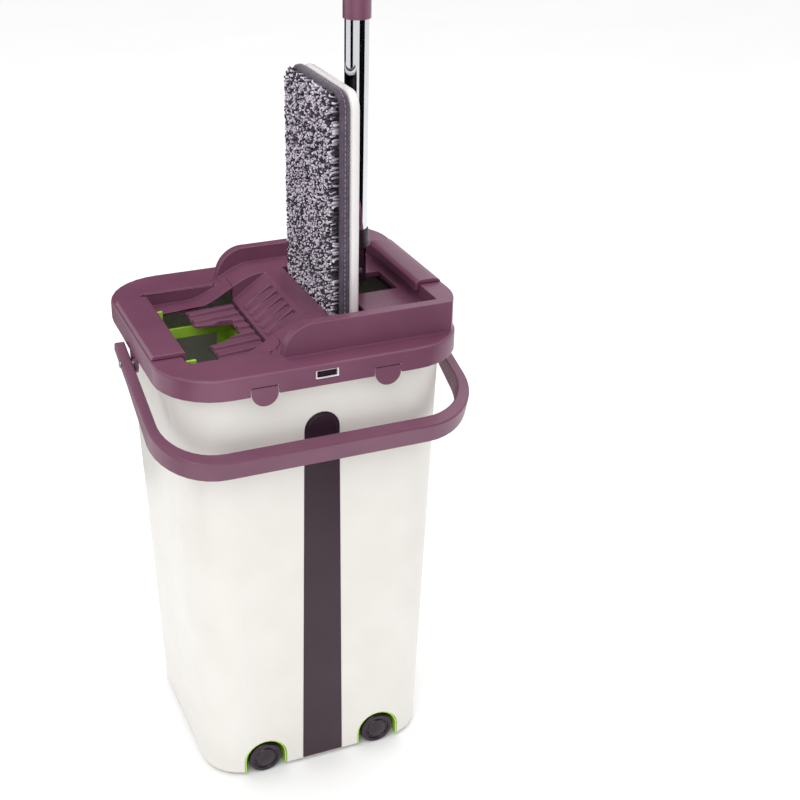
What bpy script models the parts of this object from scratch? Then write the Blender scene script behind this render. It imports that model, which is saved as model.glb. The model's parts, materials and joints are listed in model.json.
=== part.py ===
"""Flat squeeze mop parked in its two-slot wash and dry bucket.

Metres, +Z up. The origin is the centre of the tub's flat underside; +X runs along the lid from the
wash opening to the mop slot, and -Y is the front with the long inlay. The mop stands in its slot
with the pad facing -X.
"""
import math

import bmesh
import bpy
from mathutils import Vector

# ---- clearances ----
GAP = 0.0003            # between pieces that touch
RUN = 0.0001            # radial clearance of a pin in its hole

# ---- lid ----
LID_HALF = (0.130, 0.117)
LID_CORNER = 0.052
SKIRT_Z = 0.394         # lower edge of the skirt
RIM_Z = 0.412           # flat rim round the wash opening
DECK_Z = 0.425          # deck round the mop slot
HUMP_Z = 0.4385         # top of the raised walls beside the slot
HUMP_HALF = 0.0946
HUMP_START = -0.029     # where the quarter-round rise begins
HUMP_RISE = 0.026
HUMP_INSET = 0.0021      # from the lid's outline at the right end
DECK_HALF = 0.085
DECK_END = 0.108
WALL = 0.0025
WASH_X = (-0.103, -0.0243)
WASH_HALF = 0.076
LEDGE_HALF = 0.0555
LEDGE_TOP = (0.002, DECK_Z)
LEDGE_LOW = (-0.062, 0.4000)
RAMP_TOP_X = 0.0075
RAMP_HALF = 0.0548
RAMP_LOW_Z = 0.4028
RAMP_SLAB_Z = (0.3955, 0.4145)  # the block that the ramp is cut from
GROOVES = 5
GROOVE_PITCH = 0.0144
GROOVE_WIDTH = 0.0078
SLOT_X = (0.0252, 0.0560)
SLOT_HALF = 0.0625
POLE_HOLE = (0.1015, 0.021)
LATCH_X = 0.0523         # spring tabs in the skirt, to each side of the middle
LATCH_R = 0.011
LATCH_TOP = 0.4010
CATCH = (0.0102, 0.3995, 0.4075)  # half width, bottom and top of the catch window

# ---- tub ----
TUB_BASE = (0.1052, 0.0994)
TUB_TOP = (0.1184, 0.1035)
TUB_CORNERS = (0.0375, 0.043)
TUB_RIM = (0.1262, 0.1132)
TUB_RIM_Z = (0.3998, 0.4091)
FLOOR = 0.0035
STRIPE_TOP = 0.348      # centre of the inlay's round top
STRIPE_HALF = (0.0192, 0.0152)
RECESS = 0.001

# ---- wheels ----
WHEEL_X = 0.0555
WHEEL_Z = 0.0122
WHEEL_R = 0.0155
WHEEL_FACE = 0.0985
WHEEL_WIDTH = 0.017
ARCH_R = 0.0205
AXLE_R = 0.002

# ---- carry handle ----
HANDLE_DROP = math.radians(18)
HANDLE_PIVOT_Z = 0.384
HANDLE_REACH = 0.1345
HANDLE_OUT = 0.1400
HANDLE_BAND = 0.0088
HANDLE_SWELL = 0.0032    # how much wider the band is at the grip
HANDLE_BEND = 0.053
HANDLE_TAIL = 0.024
HANDLE_DEPTH = (0.008, 0.0195)
PIN_R = 0.004

# ---- mop ----
HEAD_Z = 0.442          # centre of the head, and of its universal joint
HEAD_HALF = (0.057, 0.166)
HEAD_CORNER = 0.014
PILE_X = (0.0258, 0.0342)   # the pile that stands out of the pad's bound edge
PAD_X = (0.0342, 0.0414)
STRIP_X = (0.0417, 0.0425)
PLATE_X = (0.0428, 0.0509)
TRAY_X = 0.0458           # the floor of the hollows in the plate's back
YOKE_X = (0.0461, 0.0491)
POLE_X = 0.0705
TUBE_R = 0.0100
SLEEVE_R = 0.0115
SOCKET_R = 0.0113
SOCKET_TOP = 0.477
SLEEVE_Z = (0.652, 0.800)
TUBE_JOINT = 0.735
GRIP_Z = (1.105, 1.245)
EAR = (0.0125, 0.0155)      # the yoke's ears, above and below the joint's centre
EAR_HALF = 0.0035
FORK = (0.0095, 0.0118)     # the fork's arms, to each side of the joint's centre
FORK_HALF = 0.0045
FORK_CROWN = 0.0185
COLLAR_R = 0.0122
CORNERS = {"front_left": (-1, -1), "front_right": (1, -1), "back_left": (-1, 1), "back_right": (1, 1)}


def clear_scene():
    for thing in list(bpy.data.objects):
        bpy.data.objects.remove(thing, do_unlink=True)


def linear(channel):
    return channel / 12.92 if channel <= 0.04045 else ((channel + 0.055) / 1.055) ** 2.4


def material(name, colour, roughness, metallic=0.0):
    """A Principled material from an sRGB hex colour."""
    made = bpy.data.materials.new(name)
    made.use_nodes = True
    shader = made.node_tree.nodes["Principled BSDF"]
    rgb = [linear(int(colour[i:i + 2], 16) / 255) for i in (0, 2, 4)]
    shader.inputs["Base Color"].default_value = (*rgb, 1.0)
    shader.inputs["Roughness"].default_value = roughness
    shader.inputs["Metallic"].default_value = metallic
    made.diffuse_color = (*rgb, 1.0)
    return made


def finish(name, bm, look, smooth=False, origin=(0, 0, 0)):
    """Turns a bmesh in world coordinates into an object whose origin is at the given point."""
    bmesh.ops.remove_doubles(bm, verts=bm.verts, dist=1e-6)
    bmesh.ops.recalc_face_normals(bm, faces=bm.faces)
    bmesh.ops.translate(bm, vec=-Vector(origin), verts=bm.verts)
    mesh = bpy.data.meshes.new(name)
    bm.to_mesh(mesh)
    bm.free()
    for face in mesh.polygons:
        face.use_smooth = smooth
    made = bpy.data.objects.new(name, mesh)
    made.location = origin
    bpy.context.scene.collection.objects.link(made)
    if look:
        made.data.materials.append(look)
    else:
        made.hide_render = True
        made.display_type = "WIRE"
    return made


def boolean(target, tool, kind="DIFFERENCE"):
    mod = target.modifiers.new(kind.lower() + "_" + tool.name, "BOOLEAN")
    mod.object = tool
    mod.operation = kind
    mod.solver = "EXACT"
    return target


# ---- outlines: closed lists of 2-D points ----
def arc(centre, radius, start, end, steps):
    """Points along an arc, angles in degrees, both ends included."""
    turns = [math.radians(start + (end - start) * i / steps) for i in range(steps + 1)]
    return [(centre[0] + radius * math.cos(t), centre[1] + radius * math.sin(t)) for t in turns]


def rounded(half_x, half_y, radius, centre=(0, 0), steps=7):
    """A rectangle with round corners."""
    points = []
    for i, (sx, sy) in enumerate(((1, 1), (-1, 1), (-1, -1), (1, -1))):
        middle = (centre[0] + sx * (half_x - radius), centre[1] + sy * (half_y - radius))
        points += arc(middle, radius, 90 * i, 90 * i + 90, steps)
    return points


def box_outline(low_a, high_a, low_b, high_b):
    return [(low_a, low_b), (high_a, low_b), (high_a, high_b), (low_a, high_b)]


def arch_outline(centre_x, centre_z, radius, foot, steps=12):
    """A half-round arch on straight legs that reach down to foot."""
    top = arc((centre_x, centre_z), radius, 0, 180, steps)
    return [(centre_x + radius, foot)] + top + [(centre_x - radius, foot)]


# ---- solids, added to a bmesh ----
def place(axis, a, b, along):
    """A point from its two outline coordinates and its place along the extrusion axis."""
    return {"X": (along, a, b), "Y": (a, along, b), "Z": (a, b, along)}[axis]


def add_prism(bm, outline, axis, low, high):
    """An outline extruded from low to high along an axis."""
    base = [bm.verts.new(place(axis, a, b, low)) for a, b in outline]
    grown = bmesh.ops.extrude_face_region(bm, geom=[bm.faces.new(base)])
    moved = [v for v in grown["geom"] if isinstance(v, bmesh.types.BMVert)]
    step = Vector(place(axis, 0, 0, high - low))
    bmesh.ops.translate(bm, vec=step, verts=moved)
    return bm


def add_loft(bm, sections, axis="Z"):
    """A solid through outlines of equal length, each given with its place along the axis."""
    loops = [[bm.verts.new(place(axis, a, b, along)) for a, b in outline] for along, outline in sections]
    bm.faces.new(loops[0])
    bm.faces.new(loops[-1])
    for lower, upper in zip(loops, loops[1:]):
        for i in range(len(lower)):
            j = (i + 1) % len(lower)
            bm.faces.new((lower[i], lower[j], upper[j], upper[i]))
    return bm


def add_turned(bm, profile, centre, axis="Z", steps=24):
    """A profile of (radius, place along the axis) spun about an axis through a point."""
    def at(radius, along):
        point = {"Z": (radius, 0, along), "Y": (radius, along, 0), "X": (along, radius, 0)}[axis]
        return Vector(point) + Vector(centre)
    ring = [bm.verts.new(at(r, h)) for r, h in profile]
    edges = [bm.edges.new((ring[i], ring[(i + 1) % len(ring)])) for i in range(len(ring))]
    spin_axis = {"X": (1, 0, 0), "Y": (0, 1, 0), "Z": (0, 0, 1)}[axis]
    bmesh.ops.spin(bm, geom=ring + edges, cent=centre, axis=spin_axis, angle=math.tau,
                   steps=steps, use_merge=True)
    return bm


def prism(name, outline, axis, low, high, look=None, smooth=False, origin=(0, 0, 0)):
    return finish(name, add_prism(bmesh.new(), outline, axis, low, high), look, smooth, origin)


def loft(name, sections, look=None, smooth=False, origin=(0, 0, 0)):
    return finish(name, add_loft(bmesh.new(), sections), look, smooth, origin)


def turned(name, profile, centre, look=None, axis="Z", steps=24, origin=None):
    bm = add_turned(bmesh.new(), profile, centre, axis, steps)
    return finish(name, bm, look, True, origin or centre)


def pin(name, radius, centre, axis, low, high, look, steps=20, origin=None):
    """A plain round pin with small chamfers, from low to high along its axis."""
    edge = min(0.0004, radius / 4)
    profile = [(0, low), (radius - edge, low), (radius, low + edge),
               (radius, high - edge), (radius - edge, high), (0, high)]
    return turned(name, profile, centre, look, axis, steps, origin)


def tube(name, outer, inner, centre, low, high, look, steps=28):
    profile = [(inner, low), (outer, low), (outer, high), (inner, high)]
    return turned(name, profile, centre, look, "Z", steps)


# ---- tub ----
def wall_y(z):
    """How far the tub's front wall stands from the middle at a height."""
    return TUB_BASE[1] + (TUB_TOP[1] - TUB_BASE[1]) * z / SKIRT_Z


def tub_section(z, inset):
    share = z / SKIRT_Z
    half = [b + (t - b) * share - inset for b, t in zip(TUB_BASE, TUB_TOP)]
    corner = TUB_CORNERS[0] + (TUB_CORNERS[1] - TUB_CORNERS[0]) * share - inset
    return rounded(half[0], half[1], corner)


def arch_for(sx, extra, foot):
    return arch_outline(sx * WHEEL_X, WHEEL_Z, ARCH_R + extra, foot)


def build_tub(look):
    edge = 0.0015
    rim = rounded(*TUB_RIM, LID_CORNER - 0.0038)
    tub = loft("tub", [(0, tub_section(0, edge)), (edge, tub_section(edge, 0)),
                       (TUB_RIM_Z[0] - 0.003, tub_section(TUB_RIM_Z[0] - 0.003, 0)),
                       (TUB_RIM_Z[0], rim), (TUB_RIM_Z[1], rim)], look, True)
    inside = loft("cut_tub_inside", [(FLOOR, tub_section(FLOOR, 2 * WALL)),
                                     (3 * FLOOR, tub_section(3 * FLOOR, WALL)),
                                     (TUB_RIM_Z[1] + 0.01, tub_section(TUB_RIM_Z[1] + 0.01, WALL))])
    guards = bmesh.new()
    pockets = bmesh.new()
    for sx, sy in CORNERS.values():
        deep, face = sorted((sy * 0.0655, sy * 0.112))
        add_prism(pockets, arch_for(sx, 0, -0.01), "Y", deep, face)
        deep, face = sorted((sy * (0.0655 - WALL), sy * 0.112))
        add_prism(guards, arch_for(sx, WALL, -0.01), "Y", deep, face)
    boolean(inside, finish("cut_wheel_guards", guards, None))
    boolean(tub, inside)
    boolean(tub, finish("cut_wheel_pockets", pockets, None))
    recess = bmesh.new()
    for sy in (-1, 1):
        add_stripe(recess, sy, GAP, -RECESS, 0.004, -0.01)
    boolean(tub, finish("cut_stripe_recess", recess, None))
    return tub


def add_stripe(bm, sy, grow, back, front, foot):
    """The long inlay: a slab on the sloping wall, narrower at the top, with a half-round head."""
    base, top = STRIPE_HALF[0] + grow, STRIPE_HALF[1] + grow
    outline = [(base, foot)] + arc((0, STRIPE_TOP), top, 0, 180, 12) + [(-base, foot)]
    inner = [bm.verts.new((x, sy * (wall_y(z) + back), z)) for x, z in outline]
    outer = [bm.verts.new((x, sy * (wall_y(z) + front), z)) for x, z in outline]
    bm.faces.new(inner)
    bm.faces.new(outer)
    for i in range(len(outline)):
        j = (i + 1) % len(outline)
        bm.faces.new((inner[i], inner[j], outer[j], outer[i]))
    return bm


def build_stripes(look):
    for name, sy in (("stripe_front", -1), ("stripe_back", 1)):
        bm = add_stripe(bmesh.new(), sy, 0, -RECESS + GAP, 0.0006, 0.002)
        finish(name, bm, look)


def build_running_gear(lime, steel, dark):
    """Four castor-like wheels: a lime housing in each arch, a steel axle and a domed wheel."""
    for place_name, (sx, sy) in CORNERS.items():
        hub = (sx * WHEEL_X, 0, WHEEL_Z)
        low, high = sorted((sy * 0.0660, sy * 0.0985))
        housing = prism("wheel_housing_" + place_name, arch_for(sx, -0.0005, 0.0006), "Y",
                        low, high, lime, True)
        room = bmesh.new()
        low, high = sorted((sy * 0.0790, sy * 0.1100))
        add_prism(room, arch_for(sx, -0.0018, -0.01), "Y", low, high)
        boolean(housing, finish("cut_housing_" + place_name, room, None))
        radius = AXLE_R + RUN / 2
        low, high = sorted((sy * 0.0680, sy * 0.0800))
        boolean(housing, turned("cut_axle_" + place_name, [(0, low), (radius, low), (radius, high),
                                                           (0, high)], hub, None, "Y", 16))
        low, high = sorted((sy * 0.0685, sy * 0.0940))
        pin("axle_" + place_name, AXLE_R, hub, "Y", low, high, steel, 16)
        build_wheel("wheel_" + place_name, sy, hub, dark)


def build_wheel(name, sy, hub, look):
    """A wheel with a raised rim, a shallow ring and a domed hub; its bore is open at the back."""
    face, back = WHEEL_FACE, WHEEL_FACE - WHEEL_WIDTH
    bore = AXLE_R + RUN
    end = 0.0945
    outline = [(bore, back), (WHEEL_R - 0.001, back), (WHEEL_R, back + 0.001),
               (WHEEL_R, face - 0.0012), (WHEEL_R - 0.0012, face), (0.0122, face),
               (0.0113, face - 0.0013), (0.0098, face - 0.0013), (0.0088, face - 0.0004),
               (0.0060, face + 0.0006), (0.0030, face + 0.0010), (0, face + 0.0011),
               (0, end), (bore, end)]
    profile = [(r, sy * y) for r, y in outline]
    return turned(name, profile, hub, look, "Y", 24)


# ---- lid ----
def lid_outline(inset):
    return rounded(LID_HALF[0] - inset, LID_HALF[1] - inset, LID_CORNER - inset, steps=8)


def hump_outline():
    """The raised part's plan: straight front and back, right end following the lid's corners."""
    radius = LID_CORNER - HUMP_INSET
    cx, cy = LID_HALF[0] - LID_CORNER, LID_HALF[1] - LID_CORNER
    start = math.degrees(math.asin((HUMP_HALF - cy) / radius))
    right = arc((cx, -cy), radius, -start, 0, 6) + arc((cx, cy), radius, 0, start, 6)
    return [(HUMP_START, -HUMP_HALF)] + right + [(HUMP_START, HUMP_HALF)]


def ramp_profile(drop, left, right):
    """The ramp and deck line in X and Z, lowered by drop."""
    return [(left, RAMP_LOW_Z - drop), (WASH_X[1], RAMP_LOW_Z - drop),
            (RAMP_TOP_X, DECK_Z - drop), (right, DECK_Z - drop)]


def ledge_z(x):
    """The S-curve from the deck down to the ledge beside the wash opening."""
    t = min(max((LEDGE_TOP[0] - x) / (LEDGE_TOP[0] - LEDGE_LOW[0]), 0), 1)
    return LEDGE_TOP[1] + (LEDGE_LOW[1] - LEDGE_TOP[1]) * t * t * (3 - 2 * t)


def ledge_line(left, right, drop, steps=10):
    """Points of the S-curve in X and Z between two places, lowered by drop."""
    places = [left + (right - left) * i / steps for i in range(steps + 1)]
    return [(x, ledge_z(x) - drop) for x in places]


def build_lid(look):
    top = 0.0025
    lid = loft("lid", [(SKIRT_Z, lid_outline(0)), (RIM_Z - top, lid_outline(0)),
                       (RIM_Z - top / 4, lid_outline(0.0009)), (RIM_Z, lid_outline(top))], look, True)
    hump = prism("add_hump", hump_outline(), "Z", RIM_Z - 2 * WALL, HUMP_Z)
    curve = [(HUMP_START + HUMP_RISE * (1 - math.cos(math.radians(9 * i))),
              RIM_Z + 0.00015 + (HUMP_Z - RIM_Z) * math.sin(math.radians(9 * i))) for i in range(11)]
    over = [(HUMP_START - 0.01, RIM_Z + 0.00015)] + curve + [(HUMP_START + HUMP_RISE, 0.46),
                                                            (HUMP_START - 0.01, 0.46)]
    boolean(hump, prism("cut_hump_rise", over, "Y", -0.12, 0.12))
    boolean(lid, hump, "UNION")
    boolean(lid, loft("cut_skirt_inside", [(SKIRT_Z - 0.01, lid_outline(WALL)),
                                           (RIM_Z - WALL, lid_outline(WALL))]))
    slab = box_outline(WASH_X[1] - 0.003, 0.004, RAMP_SLAB_Z[0], RAMP_SLAB_Z[1])
    boolean(lid, prism("add_ramp", slab, "Y", -RAMP_HALF - WALL, RAMP_HALF + WALL), "UNION")
    near = WASH_X[1] - 0.010
    under = ramp_profile(2 * WALL, near, DECK_END) + [(DECK_END, 0.39), (near, 0.39)]
    boolean(lid, prism("cut_under_deck", under, "Y", -DECK_HALF, DECK_HALF))
    over = ramp_profile(0, near, 0.030) + [(0.030, 0.47), (near, 0.47)]
    boolean(lid, prism("cut_over_ramp", over, "Y", -RAMP_HALF, RAMP_HALF))
    over = ledge_line(near - 0.001, LEDGE_TOP[0], 0) + [(DECK_END, DECK_Z), (DECK_END, 0.48),
                                                        (near - 0.001, 0.48)]
    boolean(lid, prism("cut_over_deck", over, "Y", -DECK_HALF, DECK_HALF))
    for side, sy in (("front", -1), ("back", 1)):
        under = ledge_line(WASH_X[1] + WALL, LEDGE_TOP[0], WALL) + [(0.012, DECK_Z - WALL), (0.012, 0.385),
                                                                    (WASH_X[1] + WALL, 0.385)]
        low, high = sorted((sy * (RAMP_HALF + WALL), sy * (DECK_HALF - WALL)))
        boolean(lid, prism("cut_under_ledge_" + side, under, "Y", low, high))
    for side, sy in (("front", -1), ("back", 1)):
        low, high = sorted((sy * (DECK_HALF + WALL), sy * (HUMP_HALF - WALL)))
        boolean(lid, prism("cut_hump_hollow_" + side, box_outline(0.002, 0.104, 0.39, HUMP_Z - WALL),
                           "Y", low, high))
    middle = ((WASH_X[0] + WASH_X[1]) / 2, 0)
    wash = rounded((WASH_X[1] - WASH_X[0]) / 2, WASH_HALF, 0.005, middle, 3)
    boolean(lid, prism("cut_wash_opening", wash, "Z", 0.38, 0.48))
    for side, sy in (("front", -1), ("back", 1)):
        boolean(lid, build_ledge("add_ledge_" + side, sy), "UNION")
    slot = [(SLOT_X[0], -SLOT_HALF), (SLOT_X[1], -SLOT_HALF), (SLOT_X[1], -POLE_HOLE[1]),
            (POLE_HOLE[0], -POLE_HOLE[1]), (POLE_HOLE[0], POLE_HOLE[1]), (SLOT_X[1], POLE_HOLE[1]),
            (SLOT_X[1], SLOT_HALF), (SLOT_X[0], SLOT_HALF)]
    boolean(lid, prism("cut_mop_slot", slot, "Z", 0.38, 0.48))
    boolean(lid, build_grooves())
    boolean(lid, build_skirt_cuts())
    lugs = bmesh.new()
    for sx in (-1, 1):
        low, high = sorted((sx * 0.1268, sx * 0.1297))
        outline = [(0.011, SKIRT_Z + 0.004)] + arc((0, HANDLE_PIVOT_Z), 0.009, 0, -180, 8)
        outline += [(-0.011, SKIRT_Z + 0.004)]
        add_prism(lugs, outline, "X", low, high)
    boolean(lid, finish("add_handle_lugs", lugs, None), "UNION")
    holes = bmesh.new()
    for sx in (-1, 1):
        low, high = sorted((sx * 0.120, sx * 0.135))
        radius = PIN_R + RUN
        add_turned(holes, [(0, low), (radius, low), (radius, high), (0, high)],
                   (0, 0, HANDLE_PIVOT_Z), "X", 20)
    boolean(lid, finish("cut_lug_holes", holes, None))
    return lid


def build_ledge(name, sy):
    """One S-curved ledge with the wall that hangs it from the rim."""
    left, right = WASH_X[0] - 0.003, WASH_X[1] + 0.002
    line = ledge_line(left, right, 0.0001)
    under = ledge_line(left, right, WALL)[::-1]
    bm = add_prism(bmesh.new(), line + under, "Y", *sorted((sy * LEDGE_HALF, sy * (WASH_HALF + 0.0005))))
    shelf = finish(name, bm, None)
    left, right = left - 0.001, -0.036
    wall = ledge_line(left, right, WALL + 0.0005) + [(right, RIM_Z - 0.0012), (left, RIM_Z - 0.0012)]
    side = prism(name + "_wall", wall, "Y", *sorted((sy * (WASH_HALF - 0.0008), sy * (WASH_HALF + WALL))))
    return boolean(shelf, side, "UNION")


def build_grooves():
    """Wedge grooves in the ramp, deepest at their right ends."""
    bm = bmesh.new()
    wedge = [(-0.0215, 0.4045), (0.0040, 0.4185), (0.0040, 0.4350), (-0.0215, 0.4350)]
    for i in range(GROOVES):
        middle = (i - (GROOVES - 1) / 2) * GROOVE_PITCH
        add_prism(bm, wedge, "Y", middle - GROOVE_WIDTH / 2, middle + GROOVE_WIDTH / 2)
    return finish("cut_grooves", bm, None)


def build_skirt_cuts():
    """Notches for the four latch tabs and windows for the two catches."""
    bm = bmesh.new()
    for sx, sy in CORNERS.values():
        low, high = sorted((sy * 0.110, sy * 0.125))
        add_prism(bm, box_outline(sx * LATCH_X - LATCH_R - 0.0008, sx * LATCH_X + LATCH_R + 0.0008,
                                  SKIRT_Z - 0.005, LATCH_TOP + 0.0006), "Y", low, high)
    for sy in (-1, 1):
        low, high = sorted((sy * 0.110, sy * 0.125))
        add_prism(bm, box_outline(-CATCH[0], CATCH[0], CATCH[1], CATCH[2]), "Y", low, high)
    return finish("cut_skirt_windows", bm, None)


def build_latches(look, pale):
    """Half-round spring tabs in the skirt, and the catch block seen in each skirt window."""
    for place_name, (sx, sy) in CORNERS.items():
        x = sx * LATCH_X
        outline = arc((x, SKIRT_Z + 0.0015), LATCH_R, 180, 360, 12)
        outline += [(x + LATCH_R, LATCH_TOP), (x - LATCH_R, LATCH_TOP)]
        low, high = sorted((sy * (LID_HALF[1] - WALL + 0.0002), sy * LID_HALF[1]))
        prism("latch_" + place_name, outline, "Y", low, high, look, False,
              (x, sy * (LID_HALF[1] - WALL / 2), LATCH_TOP))
    for name, sy in (("catch_front", -1), ("catch_back", 1)):
        low, high = sorted((sy * 0.1137, sy * 0.1160))
        block = prism(name, box_outline(-CATCH[0] + GAP, CATCH[0] - GAP, CATCH[1] + GAP,
                                        CATCH[2] - GAP), "Y", low, high, pale)
        low, high = sorted((sy * 0.1149, sy * 0.1180))
        inside = box_outline(-CATCH[0] + 0.0016, CATCH[0] - 0.0016, CATCH[1] + 0.0022,
                             CATCH[2] - 0.0010)
        boolean(block, prism("cut_" + name, inside, "Y", low, high))


def build_covers(look):
    """The caps over the two ends of the lid, each with a lip on its inner side."""
    left = [(-0.1000, RIM_Z - 0.0060), (-0.1000, RIM_Z + 0.0030), (-0.1020, RIM_Z + 0.0040),
            (-0.1265, RIM_Z + 0.0040), (-0.1285, RIM_Z + GAP), (-0.1026, RIM_Z + GAP),
            (-0.1026, RIM_Z - 0.0060)]
    prism("end_cover_left", left, "Y", -0.0615, 0.0615, look)
    right = [(DECK_END - 0.0040, HUMP_Z - 0.0055), (DECK_END - GAP, HUMP_Z - 0.0055),
             (DECK_END - GAP, HUMP_Z + GAP), (0.1285, HUMP_Z + GAP), (0.1250, HUMP_Z + 0.0030),
             (0.1200, HUMP_Z + 0.0040), (DECK_END, HUMP_Z + 0.0040), (DECK_END - 0.0040, HUMP_Z + 0.0020)]
    prism("end_cover_right", right, "Y", -0.0515, 0.0515, look)


def build_wash_frame(look):
    """The lime frame under the wash opening: corner posts, two rings and ribs on its left side."""
    low_x, high_x, half = -0.1015, -0.0290, 0.0540
    thick = 0.003
    middle = ((low_x + high_x) / 2, 0)
    half_x = (high_x - low_x) / 2
    outer = rounded(half_x, half, 0.002, middle, 2)
    frame = prism("wash_frame", outer, "Z", 0.330, 0.4030, look)
    boolean(frame, prism("cut_frame_inside", rounded(half_x - thick, half - thick, 0.001, middle, 2),
                         "Z", 0.32, 0.41))
    post = 0.012
    through = bmesh.new()
    add_prism(through, box_outline(-half + post, half - post, 0.3850, 0.4200), "X", -0.12, -0.0120)
    count = 5
    pitch = (2 * half - 2 * post + 0.004) / count
    for i in range(count):
        y = -half + post - 0.002 + pitch * (i + 0.5)
        add_prism(through, box_outline(y - pitch / 2 + 0.002, y + pitch / 2 - 0.002, 0.3390, 0.3760),
                  "X", -0.12, -0.0120)
    across = bmesh.new()
    add_prism(across, box_outline(low_x + post, high_x + post, 0.3850, 0.4200), "Y", -0.06, 0.06)
    add_prism(across, box_outline(low_x + post, high_x - post, 0.3390, 0.3760), "Y", -0.06, 0.06)
    boolean(frame, finish("cut_frame_through", through, None))
    return boolean(frame, finish("cut_frame_across", across, None))


def build_scrub_plate(look):
    """The ribbed wash plate beside the ramp, with a notch for the mop's yoke in its free edge."""
    near, far = WASH_X[1] - 0.0022, -0.0690
    line = [(near, 0.4005), (far, 0.3985)]
    outline = line + [(far, 0.3960), (near, 0.3980)]
    plate = prism("scrub_plate", outline, "Y", -0.0535, 0.0535, look)
    ribs = bmesh.new()
    count = 7
    for i in range(count):
        y = (i - (count - 1) / 2) * 0.0144
        section = [(y - 0.0042, 0.3985), (y + 0.0042, 0.3985), (y + 0.0026, 0.4032), (y - 0.0026, 0.4032)]
        add_prism(ribs, section, "X", far + 0.0005, near - 0.001)
    slope = [(far - 0.001, 0.4008), (near + 0.001, 0.4036), (near + 0.001, 0.4200), (far - 0.001, 0.4200)]
    ribs = finish("add_plate_ribs", ribs, None)
    boolean(ribs, prism("cut_rib_tops", slope, "Y", -0.06, 0.06))
    boolean(plate, ribs, "UNION")
    notch = [(far - 0.002, -0.0220), (-0.0400, -0.0155), (-0.0380, -0.0135), (-0.0380, 0.0135),
             (-0.0400, 0.0155), (far - 0.002, 0.0220)]
    return boolean(plate, prism("cut_plate_notch", notch, "Z", 0.38, 0.42))


def build_wringer(lime, rubber):
    """The wiper that squeezes the pad as the head slides: a holder under the deck and its blade."""
    top = DECK_Z - 2 * WALL - GAP
    holder = [(0.0078, top), (0.0222, top), (0.0222, 0.4120), (0.0140, 0.4040), (0.0140, 0.3960),
              (0.0105, 0.3960), (0.0060, 0.4060)]
    prism("wiper_holder", holder, "Y", -0.0600, 0.0600, lime)
    blade = [(0.0143, 0.4020), (0.0143, 0.3970), (0.0225, 0.3978), (0.0250, 0.4005), (0.0225, 0.4012)]
    prism("wiper_blade", blade, "Y", -0.0590, 0.0590, rubber)


# ---- carry handle ----
def handle_path(offset, steps=10):
    """Half of the handle's line in its own plane: X against reach, inset by offset."""
    bend = HANDLE_BEND - offset
    out, reach = HANDLE_OUT - offset, HANDLE_REACH - offset
    turn = arc((out - bend, reach - bend), bend, 0, 90, steps)
    return [(out, -HANDLE_TAIL)] + [(out, 0.02)] + turn


def handle_depth(reach):
    """The band's depth: thin at the pivots and full at the grip, eased between."""
    t = min(max((reach + 0.01) / (HANDLE_REACH * 0.75), 0), 1)
    ease = t * t * (3 - 2 * t)
    return HANDLE_DEPTH[0] + (HANDLE_DEPTH[1] - HANDLE_DEPTH[0]) * ease


def build_handle(look, steel):
    """A U of rectangular section whose upper face lies in one tilted plane through the pivots."""
    outer = handle_path(0)
    straight = HANDLE_REACH - HANDLE_BEND
    widths = [HANDLE_BAND + HANDLE_SWELL * min(max((reach - straight) / HANDLE_BEND, 0), 1)
              for _, reach in outer]
    line = []
    for i, (x, reach) in enumerate(outer):
        before, after = outer[max(i - 1, 0)], outer[min(i + 1, len(outer) - 1)]
        tangent = Vector((after[0] - before[0], after[1] - before[1])).normalized()
        inner = (x - tangent.y * widths[i], reach + tangent.x * widths[i])
        line.append(((x, reach), inner))
    line += [((-a[0], a[1]), (-b[0], b[1])) for a, b in reversed(line)]
    down = Vector((0, -math.cos(HANDLE_DROP), -math.sin(HANDLE_DROP)))
    normal = Vector((0, -math.sin(HANDLE_DROP), math.cos(HANDLE_DROP)))
    start = Vector((0, 0, HANDLE_PIVOT_Z)) + normal * HANDLE_DEPTH[0] / 2
    bm = bmesh.new()
    rings = []
    for (ox, oreach), (ix, ireach) in line:
        depth = handle_depth(oreach)
        ring = [Vector((x, 0, 0)) + start + down * reach - normal * d
                for x, reach, d in ((ox, oreach, 0), (ix, ireach, 0), (ix, ireach, depth), (ox, oreach, depth))]
        rings.append([bm.verts.new(v) for v in ring])
    bm.faces.new(rings[0])
    bm.faces.new(rings[-1])
    for a, b in zip(rings, rings[1:]):
        for i in range(4):
            j = (i + 1) % 4
            bm.faces.new((a[i], a[j], b[j], b[i]))
    pivot = (0, 0, HANDLE_PIVOT_Z)
    handle = finish("carry_handle", bm, look, False, pivot)
    holes = bmesh.new()
    for sx in (-1, 1):
        low, high = sorted((sx * 0.120, sx * 0.150))
        radius = PIN_R / 2 + RUN
        add_turned(holes, [(0, low), (radius, low), (radius, high), (0, high)], pivot, "X", 20)
    boolean(handle, finish("cut_handle_holes", holes, None))
    for side, sx in (("left", -1), ("right", 1)):
        profile = [(0, 0.1266), (PIN_R, 0.1266), (PIN_R, 0.1302), (PIN_R / 2, 0.1302),
                   (PIN_R / 2, 0.1403), (PIN_R * 0.75, 0.1403), (PIN_R * 0.75, 0.1413), (0, 0.1413)]
        turned("handle_pin_" + side, [(r, sx * x) for r, x in profile], pivot, steel, "X", 20)
    return handle


# ---- mop ----
def head_outline(inset):
    return rounded(HEAD_HALF[0] - inset, HEAD_HALF[1] - inset, HEAD_CORNER - inset, (0, HEAD_Z), 5)


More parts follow.
